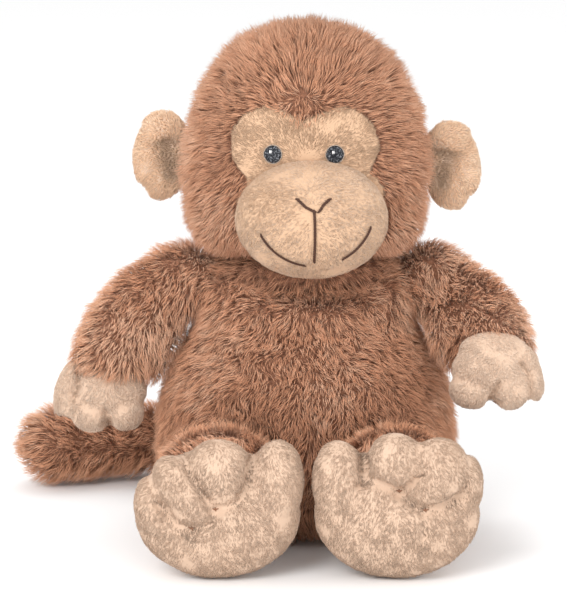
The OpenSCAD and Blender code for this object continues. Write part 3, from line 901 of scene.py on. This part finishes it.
def build_hand(side):
    s = SIDES[side]
    rng = np.random.default_rng(26 + s)
    body = f"arm_{side}"
    nodes = (f"hand_{side}_cover", f"hand_{side}_stuffing")
    c = mid_of(nodes[0])

    def place(o, d, u):
        return c + vec(s * o, -d, u) * MM

    parts = [egg(place(*at), vec(*r) * MM, tilt_matrix(s * lean), 40)
             for at, r, lean in HAND_LUMPS[side]]
    lines = [(np.array([place(o, 0, u) for o, u in pts]), d * MM, w * MM)
             for pts, d, w in HAND_CREASES[side]]
    dent = place(HAND_TACK[side][0], 0, HAND_TACK[side][1])
    ob = lumpy_skin(f"hand_{side}", body, parts, lines, [dent], c, 0.001, nodes)

    def combed(p, n):
        return vec(0, 0, -1) + 0.4 * unit((p - c) * vec(1, 0, 0.3))

    h = short_pile(f"hand_{side}_pile", ob, rng, 171 + 5 * s, combed, tone=0.95,
                   tone_of=in_creases(lines, 0.5))
    attach(h, "short_pile", body)
    tack_threads(f"hand_{side}_tack_thread", ob, [dent], body)


# Panel, folded upper lobe, outer rim and lower lobe: [outward, forward, up], half-sizes, lean
EAR_LUMPS = [((-1, -1.5, 0), (13, 4.4, 20), 6), ((-2, 0.8, 11), (10.5, 4.6, 8.5), 24),
             ((6.5, 0, 0), (6, 4.6, 14.5), 8), ((-2.5, -0.2, -13), (10.5, 4.2, 7.5), -42)]


def build_ear(side):
    s = SIDES[side]
    rng = np.random.default_rng(29 + s)
    nodes = (f"ear_{side}_front", f"ear_{side}_back")
    root = JOINTS[f"ear_{side}_flap"]
    c = mid_of(*nodes)

    def place(o, d, u):
        return c + vec(s * o, -d, u) * MM

    parts = [egg(place(*at), vec(*r) * MM, tilt_matrix(-s * lean), 40)
             for at, r, lean in EAR_LUMPS]
    ob = merged(f"ear_{side}", parts, 0.0011, 6)
    puff(ob, TRIM_CAP)
    fold = np.array([place(8, 0, 8), place(1, 0, 5), place(-8, 0, 5.5)])
    hollow = np.array([place(-4, 0, 3), place(-6, 0, -8)])
    crease(ob, fold, 0.0009, 0.0022)
    crease(ob, hollow, 0.0022, 0.0050, taper=False)
    finish_skin(ob, "ear")

    # Painted shade: hairs darkened in the ear's hollow and along its fold.
    def shaded(p, n):
        hollow_shade = np.exp(-(line_distance(p[:, [0, 2]], hollow[:, [0, 2]])[0] / 0.0055) ** 2)
        line = np.exp(-(line_distance(p[:, [0, 2]], fold[:, [0, 2]])[0] / 0.0018) ** 2)
        return -(0.75 * hollow_shade + 0.3 * line) * (n[:, 1] < 0.1)

    def combed(p, n):
        return unit((p - root) * vec(1, 0, 1)) + vec(0, 0, -0.25)

    seam = ("head", f"ear_{side}", tuple(root - vec(s * 0.002, 0, 0)),
            tuple(root + vec(s * 0.006, 0, 0)))
    h = short_pile(f"ear_{side}_pile", ob, rng, 191 + 5 * s, combed, "ear", length=0.0028,
                   tone=0.72, tone_of=shaded, lift=(0.6, 0.3), wander=0.35, spread=0.14)
    attach(ob, "short_pile", blend=seam, stands_for=nodes, pad=0.4)
    attach(h, "short_pile", blend=seam)


def build_face(head_tree):
    rng = np.random.default_rng(31)
    step = 0.0012
    xs = np.arange(FACE_LO[0] - 0.004, FACE_HI[0] + 0.004, step)
    zs = np.arange(FACE_LO[2] - 0.012, FACE_HI[2] + 0.004, step)
    gx, gz = np.meshgrid(xs, zs)
    flat = np.stack([gx.ravel(), np.full(gx.size, -0.05), gz.ravel()], 1)
    inside = (face_distance(flat) < 0.0016).reshape(gx.shape)
    co, index = [], -np.ones(gx.shape, int)
    for j in range(gx.shape[0]):
        for i in range(gx.shape[1]):
            if inside[j, i]:
                hit = head_tree.ray_cast(Vector((gx[j, i], -0.2, gz[j, i])), Vector((0, 1, 0)))
                index[j, i] = len(co)
                co.append((gx[j, i], hit[0].y - 0.0024, gz[j, i]))
    faces = [(index[j, i], index[j, i + 1], index[j + 1, i + 1], index[j + 1, i])
             for j in range(gx.shape[0] - 1) for i in range(gx.shape[1] - 1)
             if min(index[j, i], index[j, i + 1], index[j + 1, i + 1], index[j + 1, i]) >= 0]
    used = sorted({k for f in faces for k in f})
    remap = {k: n for n, k in enumerate(used)}
    ob = new_object("face_skin", [co[k] for k in used], [[remap[k] for k in f] for f in faces])
    m = ob.modifiers.new("smooth", "SMOOTH")
    m.factor, m.iterations = 0.5, 6
    m = ob.modifiers.new("thickness", "SOLIDIFY")
    m.thickness, m.offset = 0.0018, -1
    settle(ob)
    finish_skin(ob, "face", 0)
    attach(ob, "short_pile", "head", stands_for=("face_panel",), pad=0.5)

    def combed(p, n):
        return unit((p - BROW) * vec(1, 0, 1) + vec(0, 0, 0.022)) + vec(0, 0, 0.3)

    # Painted shade: hairs darkened along the edge of the panel and muzzle.
    def shaded(p, n):
        d = face_distance(p)
        return -0.22 * np.exp(-(np.abs(d) / 0.002) ** 2)

    h = short_pile("face_pile", ob, rng, 211, combed, "face", tone=0.56, tone_of=shaded,
                   keep=lambda p, n: (n[:, 1] < -0.2) & (face_distance(p) < 0.001))
    attach(h, "short_pile", "head")
    return ob


def build_muzzle():
    rng = np.random.default_rng(32)
    c = vec(MUZZLE_MID[0] - 0.001, MUZZLE_LO[1] + 0.028, MUZZLE_MID[2] - 0.0016)
    r = vec(MUZZLE_R[0], 0.028, MUZZLE_R[2] + 0.0008)
    ob = merged("muzzle_skin", [egg(c, r, n=64)], 0.0022, 1)
    puff(ob, TRIM_CAP)
    crease(ob, [c + vec(0, 0, r[2]), c + vec(0, 0, 0.2 * r[2])], 0.0005, 0.0010, taper=False)
    jaw = [c + vec(math.sin(a), 0, -math.cos(a)) * r * 0.86
           for a in np.radians([-62, -30, 0, 30, 62])]
    crease(ob, jaw, 0.0006, 0.0022)
    finish_skin(ob, "face")
    attach(ob, "short_pile", "head", stands_for=("muzzle_cover", "muzzle_stuffing"), pad=0.95)

    def combed(p, n):
        return unit((p - c) * vec(1, 0, 0.4)) + vec(0, 0, -0.7)

    # A darker patch at the upper left, and a painted highlight: paler hairs in a band along the top
    # edge.
    def shaded(p, n):
        q = (p - c) / r
        dark_patch = np.exp(-((q[:, 0] + 0.55) / 0.3) ** 2 - ((q[:, 2] - 0.45) / 0.35) ** 2)
        pale = np.exp(-((q[:, 0] - 0.05) / 0.5) ** 2 - ((q[:, 2] - 0.72) / 0.14) ** 2)
        return -0.16 * dark_patch + 0.14 * pale

    h = short_pile("muzzle_pile", ob, rng, 221, combed, "face", tone=0.80, tone_of=shaded,
                   keep=lambda p, n: p[:, 1] < c[1] + 0.012)
    attach(h, "short_pile", "head")
    return ob


# ---------------------------------------------------------------- embroidery

def thread_material(name, dark, light, scale=2500, span=(0.35, 0.7)):
    m, nt, b = shader(name, 0.5)
    n = noise_tex(nt, scale, 3, 0.6)
    nt.links.new(ramp(nt, n, [(span[0], dark), (span[1], light)]), b.inputs["Base Color"])
    bump(nt, b, n, 0.5, 0.0002)
    return m


TACK_THREAD = thread_material("tack_thread", (0.16, 0.07, 0.04), (0.32, 0.17, 0.10))
BROWN_THREAD = thread_material("brown_thread", (0.028, 0.010, 0.006), (0.10, 0.045, 0.028))
# The pale specks in the black eye thread are painted sheen.
EYE_THREAD = thread_material("eye_thread", (0.006, 0.007, 0.011), (0.22, 0.23, 0.25), 1500,
                             (0.5, 0.68))
RIM_THREAD = thread_material("rim_thread", (0.30, 0.25, 0.21), (0.55, 0.47, 0.40))
WHITE_THREAD = thread_material("white_thread", (0.70, 0.70, 0.70), (0.95, 0.95, 0.95))


STITCH_STEP = 0.00115


def on_skin(tree, x, z, lift):
    hit = tree.ray_cast(Vector((x, -0.2, z)), Vector((0, 1, 0)))
    at, no = vec(*hit[0]), vec(*hit[1])
    return at + no * lift, no


def stitches(name, tree, path, length, width, lean, lift):
    """A row of slanted stitches along a line of [x, z] points on a skin."""
    path = np.asarray(path, float)
    seg = np.linalg.norm(np.diff(path, axis=0), axis=1)
    run = np.concatenate([[0], np.cumsum(seg)])
    parts = []
    for d in np.arange(0, run[-1], STITCH_STEP):
        x, z = np.interp(d, run, path[:, 0]), np.interp(d, run, path[:, 1])
        x2, z2 = (np.interp(min(d + 0.0005, run[-1]), run, path[:, k]) for k in (0, 1))
        x1, z1 = (np.interp(max(d - 0.0005, 0), run, path[:, k]) for k in (0, 1))
        at, no = on_skin(tree, x, z, lift)
        along = unit(vec(x2 - x1, 0, z2 - z1) - no * (vec(x2 - x1, 0, z2 - z1) @ no))
        side = np.cross(no, along)
        c, s = math.cos(math.radians(lean)), math.sin(math.radians(lean))
        axis = c * along + s * side
        frame3 = np.stack([axis, np.cross(no, axis), no], 1)
        parts.append(egg(at, vec(length, width, width * 0.7), frame3, 12))
    return merged(name, parts, 0.00022, 1)


def build_embroidery(face_tree, muzzle_tree):

    def m_at(x, z):
        return (MUZZLE_MID[0] + x * MM, MUZZLE_MID[2] + z * MM)

    def row(path, lean, width=0.00055):
        return stitches("row", muzzle_tree, path, 0.0013, width, lean, 0.0007)

    nose = [row([m_at(-7.6, 11.2), m_at(-4, 8.0), m_at(0, 6)], 24),
            row([m_at(6.8, 11.2), m_at(4, 8.8), m_at(2, 5.8)], -24),
            row([m_at(0, 6), m_at(0.3, -4), m_at(0, -17.5)], 16, 0.00065)]
    mouth = []
    for s, first, last in ((-1, 30, 82), (1, 23, 62)):
        bend = np.radians(np.linspace(first, last, 16))
        mouth.append(row([m_at(s * 27.5 * math.cos(a), 8 - 27.5 * math.sin(a)) for a in bend],
                         20 * s))
    for name, group, node in (("nose_threads", nose, "nose_stitch"),
                              ("mouth_threads", mouth, "mouth_stitch")):
        ob = join(name, group)
        ob.data.materials.append(BROWN_THREAD)
        attach(ob, "brown_thread", "head", stands_for=(node,))
    glints = []
    for side in SIDES:
        lo, hi = box_of(f"eye_{side}")
        x, z = (lo[0] + hi[0]) / 2, hi[2] - 0.0042
        at, no = on_skin(face_tree, x, z, 0.0)
        right = unit(np.cross(vec(0, 0, 1), no))
        up = np.cross(no, right)
        radius = 0.0041
        rng = np.random.default_rng(41 + SIDES[side])
        parts = [egg(at, vec(radius, radius, 0.0009), np.stack([right, up, no], 1), 32)]
        for k in np.arange(-radius + 0.0003, radius - 0.0002, 0.00045):
            half = math.sqrt(radius ** 2 - k ** 2) * rng.uniform(0.93, 1.0)
            dome = 0.0009 * (1 - (k / radius) ** 2) + 0.0001
            parts.append(egg(at + right * k + no * dome * 0.75, vec(0.00032, half, 0.00045),
                             np.stack([right, up, no], 1), 12))
        ob = merged(f"eye_{side}_threads", parts, 0.00018, 0)
        ob.data.shade_smooth()
        ob.data.materials.append(EYE_THREAD)
        attach(ob, "eye_thread", "head", stands_for=(f"eye_{side}",))
        ring = []
        for a in np.arange(0, 360, 9):
            t = math.radians(a + rng.uniform(-2, 2))
            out = right * math.cos(t) + up * math.sin(t)
            tang = np.cross(no, out)
            ring.append(egg(at + out * (radius + 0.0002) + no * 0.0002,
                            vec(0.00042, 0.0002, 0.00025), np.stack([tang, out, no], 1), 10))
        rim = merged(f"eye_{side}_rim", ring, 0.00014, 0)
        rim.data.materials.append(RIM_THREAD)
        attach(rim, "eye_thread", "head")
        g = at + right * -0.0009 + up * 0.0012 + no * 0.00115
        for k in (-0.0003, 0.0003):
            glints.append(merged("g", [egg(g + right * k, vec(0.00028, 0.00085, 0.0003),
                                           np.stack([right, up, no], 1), 12)], 0.00012, 0))
    ob = join("eye_glint_threads", glints)
    ob.data.materials.append(WHITE_THREAD)
    attach(ob, "white_thread", "head", stands_for=("eye_glints",))


def join(name, obs):
    """One object that holds the meshes of several."""
    cos, faces, k = [], [], 0
    for o in obs:
        co = coords(o)
        cos.append(co)
        faces += [[i + k for i in p.vertices] for p in o.data.polygons]
        k += len(co)
        bpy.data.objects.remove(o)
    ob = new_object(name, np.concatenate(cos), faces)
    ob.data.shade_smooth()
    return ob


for side in SIDES:
    build_foot(side)
    build_hand(side)
    build_ear(side)
face = build_face(head_tree)
muzzle = build_muzzle()
build_embroidery(tree_of(face), tree_of(muzzle))
